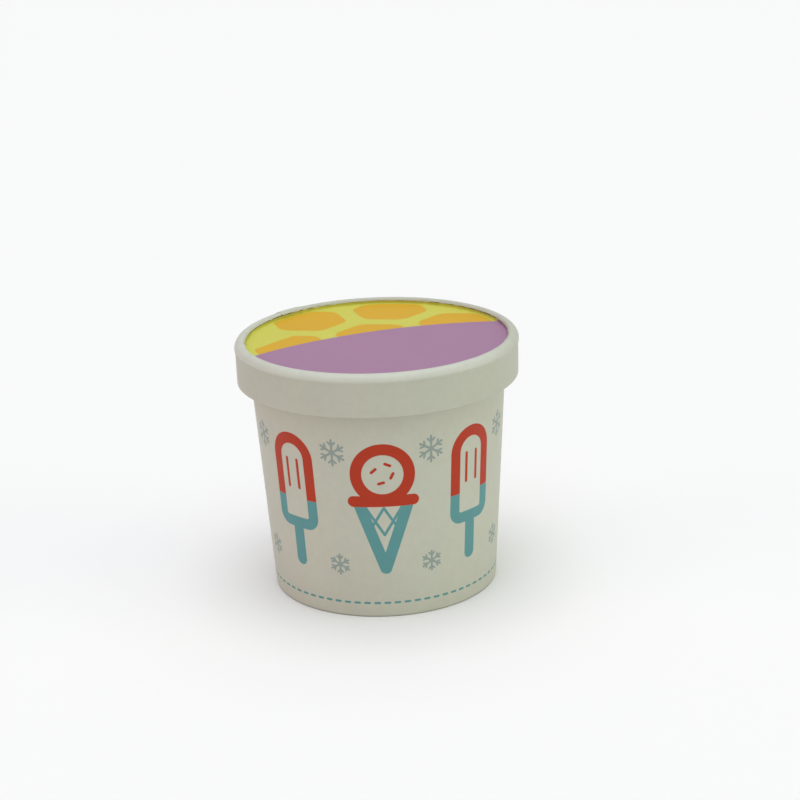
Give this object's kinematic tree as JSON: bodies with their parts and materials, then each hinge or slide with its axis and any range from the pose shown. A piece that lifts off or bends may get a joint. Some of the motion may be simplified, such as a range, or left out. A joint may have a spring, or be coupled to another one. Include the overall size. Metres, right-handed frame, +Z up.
{
  "type": "paper ice cream cup with lid",
  "caption": "Small shut paper ice cream tub: tapered coated-board cup with a folded foot and a recessed base, closed by a flat paper lid with a rolled rim and a printed sunken disc.",
  "frame": {"origin": "middle of the foot, on the surface that the tub stands on", "axes": "+Z up along the tub's axis to the lid, -Y towards the printed front seen in the picture, +X to the right of that front"},
  "size_m": [0.072, 0.072, 0.0654],
  "materials": {
    "printed_wall_board": "coated cream board with a flat red, teal and blue-grey print",
    "plain_board": "unprinted coated board, satin",
    "lid_board": "coated cream board, satin, rolled at the rim",
    "printed_disc_board": "satin print of orange honeycomb cells on yellow beside a plain mauve field"
  },
  "bodies": {
    "root": {"cup_wall": "printed_wall_board", "cup_base": "plain_board", "lid_skirt": "lid_board", "lid_disc": "printed_disc_board"}
  },
  "joints": []
}
